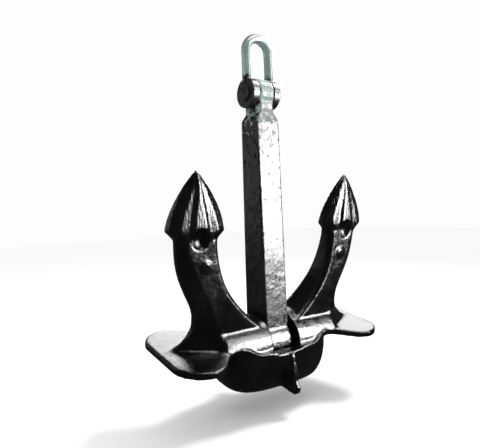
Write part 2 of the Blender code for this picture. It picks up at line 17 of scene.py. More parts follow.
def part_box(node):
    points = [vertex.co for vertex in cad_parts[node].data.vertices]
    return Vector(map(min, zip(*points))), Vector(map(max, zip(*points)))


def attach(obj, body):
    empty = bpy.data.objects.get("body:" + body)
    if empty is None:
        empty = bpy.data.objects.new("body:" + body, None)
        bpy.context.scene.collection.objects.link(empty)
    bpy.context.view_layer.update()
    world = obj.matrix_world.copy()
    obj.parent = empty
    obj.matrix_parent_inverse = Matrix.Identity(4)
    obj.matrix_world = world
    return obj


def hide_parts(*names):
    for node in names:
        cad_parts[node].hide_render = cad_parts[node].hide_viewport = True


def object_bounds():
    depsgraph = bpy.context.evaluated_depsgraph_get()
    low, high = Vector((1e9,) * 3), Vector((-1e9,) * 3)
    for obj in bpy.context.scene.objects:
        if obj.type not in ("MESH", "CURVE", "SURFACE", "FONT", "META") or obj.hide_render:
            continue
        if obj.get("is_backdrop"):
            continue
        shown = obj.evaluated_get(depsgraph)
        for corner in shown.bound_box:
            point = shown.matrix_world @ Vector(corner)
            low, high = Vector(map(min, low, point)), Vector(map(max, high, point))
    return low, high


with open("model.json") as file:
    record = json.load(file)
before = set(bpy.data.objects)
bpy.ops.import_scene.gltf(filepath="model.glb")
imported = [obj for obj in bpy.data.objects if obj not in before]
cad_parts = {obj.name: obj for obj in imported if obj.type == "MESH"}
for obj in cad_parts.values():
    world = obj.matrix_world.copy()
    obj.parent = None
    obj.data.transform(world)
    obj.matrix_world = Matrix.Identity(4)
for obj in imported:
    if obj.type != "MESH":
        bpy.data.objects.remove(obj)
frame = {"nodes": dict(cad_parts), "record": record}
bpy.context.scene.view_settings.view_transform = "Standard"
nodes = frame["nodes"]
cad_low, cad_high = (Vector(corner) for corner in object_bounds())
print("mechanical model", len(nodes), "pieces,", [round(v, 3) for v in cad_high - cad_low], "m")

# %% [markdown]
# ## Small helpers
# Colours are written as sRGB hex values, the way a paint chart gives them, and Blender's shaders want linear
# light, so one function turns the first into the second. Another adds a node and wires it in one call.
# Real sizes in millimetres become pattern scales: a noise of scale 1 has features about a metre wide.

# %% Colour helper
def linear(hex_colour):
    """An sRGB hex colour as linear red, green, blue and alpha, by the curve of the sRGB standard."""
    values = []
    for start in (0, 2, 4):
        v = int(hex_colour[start:start + 2], 16) / 255
        values.append(v / 12.92 if v <= 0.04045 else ((v + 0.055) / 1.055) ** 2.4)
    return (*values, 1.0)


print("mid grey 808080 is", round(linear("808080")[0], 3), "in linear light")


# %% Node helpers
def find_input(node, name):
    """A node's input by its name, or by its number when the name is like i0; None when there is none."""
    if name[0] == "i" and name[1:].isdigit():
        return node.inputs[int(name[1:])]
    return node.inputs.get(name.replace("_", " "))


def add_node(tree, kind, settings=None, **links):
    """Adds a node; settings are its properties or unlinked inputs, and links feed its other inputs."""
    node = tree.nodes.new(kind)
    for name, value in (settings or {}).items():
        socket = find_input(node, name)
        if socket is None:
            setattr(node, name, value)
        else:
            socket.default_value = value
    for name, source in links.items():
        tree.links.new(source, find_input(node, name))
    return node


def per_metre(size_mm):
    """The scale of a pattern whose features are size_mm across."""
    return 1000.0 / size_mm


print("features of 20 mm need a pattern scale of", per_metre(20))

# %% [markdown]
# ## The camera
# The anchor is seen from the front and a little to its left, from about the middle of its height, with the
# camera rolled slightly. The place is counted from the crown pin, because that is the middle of the heavy
# end. The lens is moderately wide.

# %% Place the camera
LENS_MM = 34.97
SENSOR_MM = 36.0
VIEW_FROM_PIN = Vector((-1.128, -1.450, 0.507))
VIEW_AZIMUTH = math.radians(35.0)
VIEW_DOWN = math.radians(1.26)
VIEW_ROLL = math.radians(2.21)

pin_low, pin_high = (Vector(corner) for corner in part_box("crown_pin"))
crown_pin_centre = (pin_low + pin_high) / 2
ahead = Vector((math.sin(VIEW_AZIMUTH), math.cos(VIEW_AZIMUTH), 0))
right = Vector((math.cos(VIEW_AZIMUTH), -math.sin(VIEW_AZIMUTH), 0))
up = Vector((0, 0, 1))
look = ahead * math.cos(VIEW_DOWN) - up * math.sin(VIEW_DOWN)
upright = ahead * math.sin(VIEW_DOWN) + up * math.cos(VIEW_DOWN)
camera_x = right * math.cos(VIEW_ROLL) - upright * math.sin(VIEW_ROLL)
camera_y = right * math.sin(VIEW_ROLL) + upright * math.cos(VIEW_ROLL)
camera_data = bpy.data.cameras.new("camera")
camera_data.lens = LENS_MM
camera_data.sensor_width = SENSOR_MM
camera = bpy.data.objects.new("camera", camera_data)
turn = Matrix((camera_x, camera_y, -look)).transposed().to_4x4()
camera.matrix_world = Matrix.Translation(crown_pin_centre + VIEW_FROM_PIN) @ turn
bpy.context.scene.collection.objects.link(camera)
bpy.context.scene.camera = camera
print("camera at", [round(v, 3) for v in camera.location])

# %% [markdown]
# ## The floor
# The anchor hangs a hand's width above a wide, pale, matt floor, far enough for the crown to swing freely.
# A matt floor has no mirror image in it, so its shader's specular level is set to nothing.

# %% Pale floor
FLOOR_DROP = 0.075
FLOOR_HALF = 14.0
floor_z = cad_low.z - FLOOR_DROP
bm = bmesh.new()
bmesh.ops.create_grid(bm, x_segments=2, y_segments=2, size=FLOOR_HALF)
bmesh.ops.translate(bm, vec=(0, 0, floor_z), verts=bm.verts)
floor_mesh = bpy.data.meshes.new("floor")
bm.to_mesh(floor_mesh)
bm.free()
floor = bpy.data.objects.new("floor", floor_mesh)
bpy.context.scene.collection.objects.link(floor)
floor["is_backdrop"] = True

studio_floor = bpy.data.materials.new("matt_studio_floor")
studio_floor.use_nodes = True
floor_shader = studio_floor.node_tree.nodes["Principled BSDF"]
floor_shader.inputs["Base Color"].default_value = linear("FBFBFA")
floor_shader.inputs["Roughness"].default_value = 0.9
floor_shader.inputs["Specular IOR Level"].default_value = 0.0
floor_mesh.materials.append(studio_floor)
print("floor at", round(floor_z, 3))

# %% [markdown]
# ## Soft boxes
# Black gloss paint shows hardly any colour of its own. What the eye reads is the lights mirrored in it, so
# the lamps are seven large soft boxes, each placed where some face of the anchor throws its reflection at the
# viewer: the tall one in front on the right lights the shank's front face, the two above it the bow and the
# slopes, the wide one behind the ears' ends, the one overhead the tops of the palms, and the two narrow ones
# on the left draw thin lines on the dark side. Only the high right one also lights matt surfaces and casts a
# shadow on the floor; the others work in reflections alone.

# %% Place the soft boxes
SOFT_BOXES = (
    # name, place and target from the anchor's middle in metres, width, height, watts, lights matt surfaces
    ("front_right_box", (1.90, -2.40, 0.33), (0, 0, 0.05), 0.75, 1.50, 310, False),
    ("bow_box", (1.90, -2.40, 1.85), (0, 0, 0.6), 0.7, 0.9, 60, False),
    ("high_right_box", (1.75, -0.10, 2.0), (0, 0, 0), 0.9, 1.0, 105, True),
    ("back_box", (2.1, 2.4, 1.25), (0, 0, -0.3), 3.2, 1.1, 100, False),
    ("over_box", (0.35, -0.75, 2.3), (0.1, -0.1, -0.5), 1.2, 0.7, 70, False),
    ("left_box", (-2.6, 1.4, 0.9), (0, 0, 0), 0.5, 1.8, 8, False),
    ("far_left_box", (-1.5, 2.9, 0.6), (0, 0, 0), 0.35, 1.8, 4, False),
)
middle = Vector((0, 0, (cad_low.z + cad_high.z) / 2))
for name, place, target, width, height, watts, lights_matt in SOFT_BOXES:
    light = bpy.data.lights.new(name, "AREA")
    light.shape = "RECTANGLE"
    light.size = width
    light.size_y = height
    light.energy = watts
    lamp = bpy.data.objects.new(name, light)
    lamp.visible_diffuse = lights_matt
    lamp.visible_camera = False
    lamp_place = middle + Vector(place)
    direction = middle + Vector(target) - lamp_place
    lamp_turn = direction.to_track_quat("-Z", "Y").to_matrix().to_4x4()
    lamp.matrix_world = Matrix.Translation(lamp_place) @ lamp_turn
    bpy.context.scene.collection.objects.link(lamp)
print(len(SOFT_BOXES), "soft boxes,", sum(row[5] for row in SOFT_BOXES), "W")

# %% [markdown]
# ## The room
# The room is almost white to the eye, and it lights matt surfaces evenly. In glossy surfaces it has to be
# nearly dark, or the black paint would turn grey all over. The Light Path node tells the two apart, so that
# the room is at full strength for every ray but the mirrored ones. The floor is kept out of reflections for
# the same reason.

# %% White room, dark in reflections
ROOM_IN_REFLECTIONS = 0.05
world = bpy.data.worlds.new("soft_room")
world.use_nodes = True
room = world.node_tree
mirrored = add_node(room, "ShaderNodeLightPath").outputs["Is Glossy Ray"]
strength = add_node(room, "ShaderNodeMapRange", {"To Min": 1.0, "To Max": ROOM_IN_REFLECTIONS},
                    Value=mirrored)
background = room.nodes["Background"]
background.inputs["Color"].default_value = linear("FDFDFD")
room.links.new(strength.outputs["Result"], background.inputs["Strength"])
bpy.context.scene.world = world
floor.visible_glossy = False
print("room strength in reflections", ROOM_IN_REFLECTIONS)

# %% [markdown]
# ## Black bitumen enamel on cast steel
# A ship anchor is cast in sand or forged, left rough, and brushed with thick glossy black enamel. The eye
# knows it by its relief, its rubbed corners, its dull dusty specks and the primer that shows where the coat
# is
# thin. The hollows also get painted shade: their mirror is weakened where other surfaces are near. Each gets
# a small function. They share two noises, wide patches and small blotches, so that a rubbed place is also a
# dull one.

# %% Patterns shared by the paint
PATCH_MM = 120.0             # areas that were painted and handled alike
BLOTCH_MM = 26.0             # specks and thin spots


def start_material(name):
    """A new material, its node tree, its shader, and the place on the object, which patterns follow."""
    material = bpy.data.materials.new(name)
    material.use_nodes = True
    tree = material.node_tree
    place = add_node(tree, "ShaderNodeTexCoord").outputs["Object"]
    return material, tree, tree.nodes["Principled BSDF"], place


def shared_noises(tree, place):
    """The wide patches and the small blotches of one coat of paint."""
    patches = add_node(tree, "ShaderNodeTexNoise", {"Scale": per_metre(PATCH_MM), "Detail": 5.0,
                                                    "Roughness": 0.7}, Vector=place).outputs["Fac"]
    blotches = add_node(tree, "ShaderNodeTexNoise", {"Scale": per_metre(BLOTCH_MM), "Detail": 8.0,
                                                     "Roughness": 0.72}, Vector=place).outputs["Fac"]
    return patches, blotches


print("patches of", PATCH_MM, "mm, blotches of", BLOTCH_MM, "mm")

# %% [markdown]
# ### Rubbed corners
# Handling rubs the paint on the corners, where it turns dull and grey. A corner is found by comparing a
# normal that has been rounded off with the true one: on a flat they agree, and on a corner they part. The
# patches decide which corners are rubbed.

# %% Rubbed corners
CORNER_RADIUS = 0.006
ALIKE_ON_FLAT = 0.995        # how alike the two normals still are where a corner starts
ALIKE_ON_CORNER = 0.93       # and where it is sharp enough to be rubbed right through
RUB_STARTS = 0.50            # patch values between which the rubbing comes in
RUB_FULL = 0.58


def rubbed_corners(tree, patches):
    """1 where a corner has been rubbed dull, 0 elsewhere."""
    rounded = add_node(tree, "ShaderNodeBevel", {"samples": 6, "Radius": CORNER_RADIUS}).outputs["Normal"]
    true_normal = add_node(tree, "ShaderNodeNewGeometry").outputs["Normal"]
    alike = add_node(tree, "ShaderNodeVectorMath", {"operation": "DOT_PRODUCT"}, i0=rounded, i1=true_normal)
    corner = add_node(tree, "ShaderNodeMapRange", {"From Min": ALIKE_ON_FLAT, "From Max": ALIKE_ON_CORNER},
                      Value=alike.outputs["Value"])
    rub = add_node(tree, "ShaderNodeMapRange", {"From Min": RUB_STARTS, "From Max": RUB_FULL},
                   Value=patches)
    return add_node(tree, "ShaderNodeMath", {"operation": "MULTIPLY", "use_clamp": True},
                    i0=corner.outputs["Result"], i1=rub.outputs["Result"]).outputs["Value"]


print("corners under", CORNER_RADIUS, "m radius can be rubbed")

# %% [markdown]
# ### Colour, and the primer under thin paint
# The black is a shade paler in the worn patches. Near the shank's top the coat gets thin, and the pale primer
# shows in more and more of the blotches: a ramp along the height is added to the blotch noise, and where the
# sum passes a threshold the primer comes through. Thin paint is also dustier, so the ramp adds specks.

# %% Colour of the paint
TINT_STARTS = 0.45           # patch values between which the paint pales
TINT_FULL = 0.75
WORN_TINT = 0.10             # share of the worn colour in the palest patches
PRIMER = "93A8A3"
PRIMER_FADE = 0.30           # the height in metres over which the coat gets thin
PRIMER_CLIMB = 0.36          # what the ramp adds to the blotches at its top
PRIMER_STARTS = 0.74
PRIMER_FULL = 0.88
THIN_PAINT_SPECKS = 0.4      # share of the ramp that goes into the specks


def paint_colour(tree, shader, patches, worn, colour, worn_colour):
    """Wires the black with its worn parts to the shader, and returns it."""
    tint_amount = add_node(tree, "ShaderNodeMapRange", {"From Min": TINT_STARTS, "From Max": TINT_FULL,
                                                        "To Max": WORN_TINT}, Value=patches)
    tint = add_node(tree, "ShaderNodeMix", {"data_type": "RGBA", "i6": linear(colour),
                                            "i7": linear(worn_colour)}, i0=tint_amount.outputs["Result"])
    top = add_node(tree, "ShaderNodeMix", {"data_type": "RGBA", "i7": linear(worn_colour)},
                   i0=worn, i6=tint.outputs[2])
    tree.links.new(top.outputs[2], shader.inputs["Base Color"])
    return top.outputs[2]


def thin_paint(tree, shader, place, blotches, paint, primer_line):
    """Lets the primer through above primer_line, and returns the blotches with the added specks."""
    height = add_node(tree, "ShaderNodeSeparateXYZ", Vector=place).outputs["Z"]
    climb = add_node(tree, "ShaderNodeMapRange", {"From Min": primer_line,
                                                  "From Max": primer_line + PRIMER_FADE,
                                                  "To Max": PRIMER_CLIMB}, Value=height).outputs["Result"]
    shown = add_node(tree, "ShaderNodeMath", {"operation": "ADD"}, i0=blotches, i1=climb).outputs["Value"]
    thin = add_node(tree, "ShaderNodeMapRange", {"From Min": PRIMER_STARTS, "From Max": PRIMER_FULL},
                    Value=shown)
    through = add_node(tree, "ShaderNodeMix", {"data_type": "RGBA", "i7": linear(PRIMER)},
                       i0=thin.outputs["Result"], i6=paint)
    tree.links.new(through.outputs[2], shader.inputs["Base Color"])
    return add_node(tree, "ShaderNodeMath", {"operation": "MULTIPLY_ADD", "i1": THIN_PAINT_SPECKS},
                    i0=climb, i2=blotches).outputs["Value"]


print("the coat gets thin over", PRIMER_FADE, "m")

# %% [markdown]
# ### Gloss, specks and painted shade
# Fresh enamel mirrors like glass. Dust and dead spots break that up: where a blotch is strong, the roughness
# rises and the mirror weakens, which the eye reads as a mottled, weathered shine. The hollows between the
# barrel, the ears and the shank get painted shade: their mirror is weakened. The Ambient Occlusion node finds
# those hollows: it is 1 in the open and falls where other surfaces are near.

# %% Gloss of the paint
DULLING_STARTS = 0.35        # patch values between which the paint gets rougher
DULLING_FULL = 0.75
GLOSS_SPREAD = 0.08          # how much rougher the worn patches are
SPECK_SPREAD = 0.4           # and how much more so on paint with many specks
SPECK_STARTS = 0.56          # blotch values between which a speck turns rough
SPECK_FULL = 0.66
GLINT_STARTS = 0.58          # and between which its mirror weakens
HOLLOW_REACH = 0.06          # surfaces nearer than this in metres shelter each other
HOLLOW_FULL = 0.50           # open share below which a hollow gets the full painted shade
HOLLOW_NONE = 0.80
SHADED_HOLLOW_SHINE = 0.15           # what is left of the mirror under the painted shade


def paint_gloss(tree, shader, patches, worn, specked, gloss, specks, shine):
    """Wires the roughness and the strength of the mirror, which painted shade weakens in the hollows."""
    dulled = add_node(tree, "ShaderNodeMapRange", {"From Min": DULLING_STARTS, "From Max": DULLING_FULL,
                                                   "To Min": gloss,
                                                   "To Max": gloss + GLOSS_SPREAD + specks * SPECK_SPREAD},
                      Value=patches)
    dull = add_node(tree, "ShaderNodeMath", {"operation": "MAXIMUM"}, i0=dulled.outputs["Result"], i1=worn)
    speckle = add_node(tree, "ShaderNodeMapRange", {"From Min": SPECK_STARTS, "From Max": SPECK_FULL,
                                                    "To Max": specks}, Value=specked)
    speckled = add_node(tree, "ShaderNodeMath", {"operation": "ADD", "use_clamp": True},
                        i0=dull.outputs["Value"], i1=speckle.outputs["Result"])
    tree.links.new(speckled.outputs["Value"], shader.inputs["Roughness"])
    glint = add_node(tree, "ShaderNodeMapRange", {"From Min": GLINT_STARTS, "From Max": SPECK_FULL,
                                                  "To Min": shine, "To Max": shine * (1 - specks)},
                     Value=specked)
    # Painted shade: the mirror is weakened where ambient occlusion finds other surfaces near.
    in_the_open = add_node(tree, "ShaderNodeAmbientOcclusion", {"samples": 8, "Distance": HOLLOW_REACH})
    painted_shade_factor = add_node(tree, "ShaderNodeMapRange", {"From Min": HOLLOW_FULL, "From Max": HOLLOW_NONE,
                                                  "To Min": SHADED_HOLLOW_SHINE}, Value=in_the_open.outputs["AO"])
    shine_under_painted_shade = add_node(tree, "ShaderNodeMath", {"operation": "MULTIPLY"}, i0=glint.outputs["Result"],
                     i1=painted_shade_factor.outputs["Result"])
    tree.links.new(shine_under_painted_shade.outputs["Value"], shader.inputs["Specular IOR Level"])


# Hollows this close get the painted shade on their mirror.
print("hollows within", HOLLOW_REACH, "m hold grime")

# %% [markdown]
# ### Relief under the paint
# The sand mould leaves a slow swell of some tens of millimetres and a finer grain, and the brush leaves
# long shallow streaks. They are small enough to be bump and not shape, and each bump hands its normal on to
# the next, so that the three add up. The streaks are a noise stretched along the height.

# %% Relief of the paint
SWELL_MM = 38.0
BRISTLE_MM = 6.0
BRUSH_STRETCH = 0.12         # the marks run along the height, about eight times as long as wide


def paint_relief(tree, shader, place, grain_mm, grain_height, swell_height, brush_height):
    """Wires the normal: swell, then brush marks, then grain; the heights are in metres."""
    swell = add_node(tree, "ShaderNodeTexNoise", {"Scale": per_metre(SWELL_MM), "Detail": 3.0}, Vector=place)
    along = add_node(tree, "ShaderNodeMapping", {"Scale": (1.0, 1.0, BRUSH_STRETCH)}, Vector=place)
    bristles = add_node(tree, "ShaderNodeTexNoise", {"Scale": per_metre(BRISTLE_MM), "Detail": 4.0,
                                                     "Roughness": 0.55}, Vector=along.outputs["Vector"])
    grain = add_node(tree, "ShaderNodeTexNoise", {"Scale": per_metre(grain_mm), "Detail": 6.0,
                                                  "Roughness": 0.62}, Vector=place)
    low = add_node(tree, "ShaderNodeBump", {"Strength": 1.0, "Distance": swell_height},
                   Height=swell.outputs["Fac"])
    brushed = add_node(tree, "ShaderNodeBump", {"Strength": 1.0, "Distance": brush_height},
                       Height=bristles.outputs["Fac"], Normal=low.outputs["Normal"])
    fine = add_node(tree, "ShaderNodeBump", {"Strength": 1.0, "Distance": grain_height},
                    Height=grain.outputs["Fac"], Normal=brushed.outputs["Normal"])
    tree.links.new(fine.outputs["Normal"], shader.inputs["Normal"])


print("brush marks", BRISTLE_MM, "mm wide and", BRISTLE_MM / BRUSH_STRETCH, "mm long")

# %% [markdown]
# ### The two black enamels
# The crown is cast, and its paint is the fresher: smooth, with few specks. The shank is forged, so its scale
# lies coarser under the paint, and it is weathered: many dull specks, and primer showing towards its top.

# %% Black enamel
PAINT_IOR = 1.5
CLEAR_COAT = 0.10            # a thin wet-looking skin over the black
COAT_ROUGHNESS = 0.12


def enamel(name, colour, worn_colour, gloss, grain_mm, grain_height, swell_height, brush_height,
           specks, shine, primer_line=None):
    """Thick glossy paint; without a primer_line the coat is full everywhere."""
    material, tree, shader, place = start_material(name)
    patches, blotches = shared_noises(tree, place)
    worn = rubbed_corners(tree, patches)
    paint = paint_colour(tree, shader, patches, worn, colour, worn_colour)
    specked = blotches
    if primer_line is not None:
        specked = thin_paint(tree, shader, place, blotches, paint, primer_line)
    paint_gloss(tree, shader, patches, worn, specked, gloss, specks, shine)
    paint_relief(tree, shader, place, grain_mm, grain_height, swell_height, brush_height)
    shader.inputs["IOR"].default_value = PAINT_IOR
    shader.inputs["Coat Weight"].default_value = CLEAR_COAT
    shader.inputs["Coat Roughness"].default_value = COAT_ROUGHNESS
    return material


BLACK_CAST = enamel("black_enamel_on_cast_steel", "050607", "34373A", gloss=0.12, grain_mm=9.0,
                    grain_height=0.0007, swell_height=0.0016, brush_height=0.0012, specks=0.08, shine=0.33)
BLACK_FORGED = enamel("black_enamel_on_forged_steel", "060708", "3A3D40", gloss=0.15, grain_mm=12.0,
                      grain_height=0.0018, swell_height=0.0034, brush_height=0.0008, specks=0.75, shine=0.5,
                      primer_line=-0.50)
print("paints", BLACK_CAST.name, "and", BLACK_FORGED.name)

# %% [markdown]
# ## The shackle's two coats
# The shackle comes in a pale grey-green shop primer. When the shank was brushed black, the brush also ran
# over the shackle's eyes and the pin, and it ends in a ragged line across the two legs. One shader carries
# both coats: a noise shifts the height at which one gives way to the other. The primer gets most of the
# clear coat, because without its shine it would look like chalk beside the enamel.

# %% Primer above, enamel below
EYE_TOP = -0.128             # the height in metres where the black ends
RAGGED_MM = 18.0             # width of the teeth in the line
RAGGED_HEIGHT = 0.05         # how far the noise shifts it
LINE_FROM = 0.018            # where the shifted line starts and ends above EYE_TOP
LINE_TO = 0.030
STAIN_MM = 30.0
BRUSHED_GRAIN_MM = 7.0
BRUSHED_GRAIN_HEIGHT = 0.0007
CLEAN_ROUGHNESS = 0.22       # the roughness where there is no stain, and in the worst of one
STAINED_ROUGHNESS = 0.46
ENAMEL_COAT = 0.1
PRIMER_COAT = 0.8


def two_coats(name, primer, primer_shade, black, line_height):
    """Pale primer above a ragged line at line_height, black enamel below it."""
    material, tree, shader, place = start_material(name)
    ragged = add_node(tree, "ShaderNodeTexNoise", {"Scale": per_metre(RAGGED_MM), "Detail": 4.0},
                      Vector=place)
    height = add_node(tree, "ShaderNodeSeparateXYZ", Vector=place)
    shifted = add_node(tree, "ShaderNodeMath", {"operation": "MULTIPLY_ADD", "i1": RAGGED_HEIGHT},
                       i0=ragged.outputs["Fac"], i2=height.outputs["Z"])
    coat = add_node(tree, "ShaderNodeMapRange", {"From Min": line_height + LINE_FROM,
                                                 "From Max": line_height + LINE_TO},
                    Value=shifted.outputs["Value"]).outputs["Result"]
    stains = add_node(tree, "ShaderNodeTexNoise", {"Scale": per_metre(STAIN_MM), "Detail": 6.0,
                                                   "Roughness": 0.7}, Vector=place).outputs["Fac"]
    pale = add_node(tree, "ShaderNodeMix", {"data_type": "RGBA", "i6": linear(primer),
                                            "i7": linear(primer_shade)}, i0=stains)
    both = add_node(tree, "ShaderNodeMix", {"data_type": "RGBA", "i6": linear(black)},
                    i0=coat, i7=pale.outputs[2])
    tree.links.new(both.outputs[2], shader.inputs["Base Color"])
    gloss = add_node(tree, "ShaderNodeMapRange", {"To Min": CLEAN_ROUGHNESS, "To Max": STAINED_ROUGHNESS},
                     Value=stains)
    tree.links.new(gloss.outputs["Result"], shader.inputs["Roughness"])
    grain = add_node(tree, "ShaderNodeTexNoise", {"Scale": per_metre(BRUSHED_GRAIN_MM), "Detail": 6.0,
                                                  "Roughness": 0.6}, Vector=place)
    bump = add_node(tree, "ShaderNodeBump", {"Strength": 1.0, "Distance": BRUSHED_GRAIN_HEIGHT},
                    Height=grain.outputs["Fac"])
    tree.links.new(bump.outputs["Normal"], shader.inputs["Normal"])
    shine = add_node(tree, "ShaderNodeMapRange", {"To Min": ENAMEL_COAT, "To Max": PRIMER_COAT}, Value=coat)
    tree.links.new(shine.outputs["Result"], shader.inputs["Coat Weight"])
    shader.inputs["Coat Roughness"].default_value = COAT_ROUGHNESS
    return material


PRIMER_AND_ENAMEL = two_coats("primer_and_enamel", "93A9A6", "3A5050", "0B0D0E", EYE_TOP)
print("shackle paint", PRIMER_AND_ENAMEL.name, "changes at", EYE_TOP)

# %% [markdown]
# ## Bare steel and lead
# The pins are turned bars of mild steel that have gone dull outdoors: stained, and very finely pitted. The
# taper pin's ends are sealed with lead, hammered flat, which is a soft dark grey metal with small dents. Both
# are the same few nodes with other colours and another depth of dent.

# %% Metals
METAL_STAIN_MM = 25.0
STAIN_STARTS = 0.4           # noise values between which a stain comes in
STAIN_FULL = 0.68
STAINS_ROUGHEN = 0.25        # how much rougher a stain is than the clean metal


def metal(name, colour, stain_colour, roughness, dent_mm, dent_height):
    """A bare metal with stains and small dents."""
    material, tree, shader, place = start_material(name)
    shader.inputs["Metallic"].default_value = 1.0
    stains = add_node(tree, "ShaderNodeTexNoise", {"Scale": per_metre(METAL_STAIN_MM), "Detail": 6.0,
                                                   "Roughness": 0.7}, Vector=place).outputs["Fac"]
    dents = add_node(tree, "ShaderNodeTexNoise", {"Scale": per_metre(dent_mm), "Detail": 4.0}, Vector=place)
    amount = add_node(tree, "ShaderNodeMapRange", {"From Min": STAIN_STARTS, "From Max": STAIN_FULL},
                      Value=stains)
    stained = add_node(tree, "ShaderNodeMix", {"data_type": "RGBA", "i6": linear(colour),
                                               "i7": linear(stain_colour)}, i0=amount.outputs["Result"])
    tree.links.new(stained.outputs[2], shader.inputs["Base Color"])
    rough = add_node(tree, "ShaderNodeMapRange", {"To Min": roughness, "To Max": roughness + STAINS_ROUGHEN},
                     Value=stains)
    tree.links.new(rough.outputs["Result"], shader.inputs["Roughness"])
    bump = add_node(tree, "ShaderNodeBump", {"Strength": 1.0, "Distance": dent_height},
                    Height=dents.outputs["Fac"])
    tree.links.new(bump.outputs["Normal"], shader.inputs["Normal"])
    return material


DULL_STEEL = metal("weathered_mild_steel", "9A9C9C", "5B5650", 0.34, dent_mm=3.0, dent_height=0.00012)
HAMMERED_LEAD = metal("hammered_lead", "6C6E72", "55565A", 0.5, dent_mm=4.0, dent_height=0.0004)
print("metals", DULL_STEEL.name, "and", HAMMERED_LEAD.name)

# %% [markdown]
# ## From mechanical solid to cast skin
# The mechanical pieces are exact but sharp. A voxel remesh lays an even net of small squares over a copy of
# one, and a few rounds of smoothing then soften every corner and fill every inside corner, much as a
# moulder's fillets and the sand do. The net size sets how large the fillets get.

# %% Copies of the mechanical pieces
WELD_DISTANCE = 0.00002
SHARP_ABOVE = math.radians(60)


def merged_copy(name):
    """A copy of one mechanical piece, with its loose triangles joined up."""
    bm = bmesh.new()
    bm.from_mesh(nodes[name].data)
    bmesh.ops.remove_doubles(bm, verts=bm.verts, dist=WELD_DISTANCE)
    return bm


def as_object(bm, name, material):
    """Makes an object from a bmesh, smooth but for its sharp edges."""
    mesh = bpy.data.meshes.new(name)
    bm.to_mesh(mesh)
    bm.free()
    mesh.materials.clear()
    mesh.materials.append(material)
    mesh.shade_smooth()
    mesh.set_sharp_from_angle(angle=SHARP_ABOVE)
    obj = bpy.data.objects.new(name, mesh)
    bpy.context.scene.collection.objects.link(obj)
    return obj


print("corners closer than", WELD_DISTANCE, "m are joined")


# %% Net and relaxing
def plain_mesh(obj):
    """Turns an object with modifiers into a plain mesh in place."""
    depsgraph = bpy.context.evaluated_depsgraph_get()
    mesh = bpy.data.meshes.new_from_object(obj.evaluated_get(depsgraph))
    obj.modifiers.clear()
    obj.data = mesh


def soften(obj, net_size, rounds):
    """Voxel remesh with squares of net_size, then smoothing rounds."""
    net = obj.modifiers.new("net", "REMESH")
    net.mode = "VOXEL"
    net.voxel_size = net_size
    net.use_smooth_shade = True
    relax = obj.modifiers.new("relax", "SMOOTH")
    relax.factor = 0.5
    relax.iterations = rounds
    plain_mesh(obj)
    print(obj.name, "softened to", len(obj.data.polygons), "faces")


# %% [markdown]
# ## The lip's bead
# The bowl ends in a lip with a thin raised bead, which the moulder leaves to strengthen the edge. A bead
# follows a path, so Geometry Nodes draw it: a line through the lip's points is swept with a small circle.
# The points are felt out on the casting, in the crown's own axes, which lean with it as it hangs.

# %% Crown's own axes
base_axis = next(m["axis"] for m in frame["record"]["mounts"] if m["name"] == "crown_base")
crown_tilt = math.asin(base_axis[1])
to_row = Matrix.Translation(crown_pin_centre) @ Matrix.Rotation(crown_tilt, 4, "X")
to_crown = to_row.inverted()
print("crown hangs", round(math.degrees(crown_tilt), 1), "degrees from upright")

# %% [markdown]
# ### Feeling out the lip
# For each step along the pin, rays from outside are aimed at the bowl, one above the other. The last one that
# still meets the bowl's wall gives the lip's height there; one that flies over, or meets the barrel further
# in, ends the search. A few rounds of averaging take the small steps out of the line.

# %% Feel out the lip
LIP_LOWEST = 0.004           # where the feeling starts, above the crown pin
LIP_STEP = 0.0005
LIP_LEVELS = 80
LIP_WALL = 0.010             # a hit this far in from the bowl's outside is the barrel
LIP_REACH = 0.205            # how far the lip runs along the pin, each way
LIP_POINTS = 60
LIP_EVENING = 6              # rounds that take the steps out of the felt line
WELL_OUTSIDE = 0.5


def lip_height(skin, side, x):
    """The lip's point at one place along the pin, or None; side is -1 in front and 1 behind."""
    best = None
    for level in range(LIP_LEVELS):
        z = LIP_LOWEST + LIP_STEP * level
        hit = skin.ray_cast(Vector((x, side * WELL_OUTSIDE, z)), Vector((0, -side, 0)))[0]
        if hit is None:
            break
        if best is None:
            wall = abs(hit.y)
        if abs(hit.y) < wall - LIP_WALL:
            break
        best = Vector((x, hit.y, z))
    return best


def lip_points(skin, side):
    """Points along the bowl's top edge, in the crown's own axes."""
    places = [-LIP_REACH + 2 * LIP_REACH * k / LIP_POINTS for k in range(LIP_POINTS + 1)]
    felt = [lip_height(skin, side, x) for x in places]
    points = [point for point in felt if point is not None]
    for _ in range(LIP_EVENING):
        inner = [(points[k - 1] + points[k] * 2 + points[k + 1]) / 4 for k in range(1, len(points) - 1)]
        points = [points[0]] + inner + [points[-1]]
    return points


skin_bm = bmesh.new()
skin_bm.from_mesh(nodes["crown_casting"].data)
skin_bm.transform(to_crown)
crown_tree = BVHTree.FromBMesh(skin_bm)
skin_bm.free()
lips = [lip_points(crown_tree, side) for side in (-1, 1)]
print("lip points", [len(points) for points in lips])

# %% [markdown]
# ### Sweeping the bead
# The node tree takes a line and gives back a solid bead. The line is resampled to an even spacing first, so
# that the swept circle does not bunch up. Its radius, spacing and finish are inputs with names, and the
# modifier's values are set by their sockets' identifiers, which stay the same when an input is renamed.

# %% Node tree of the bead
BEAD_SIDES = 10


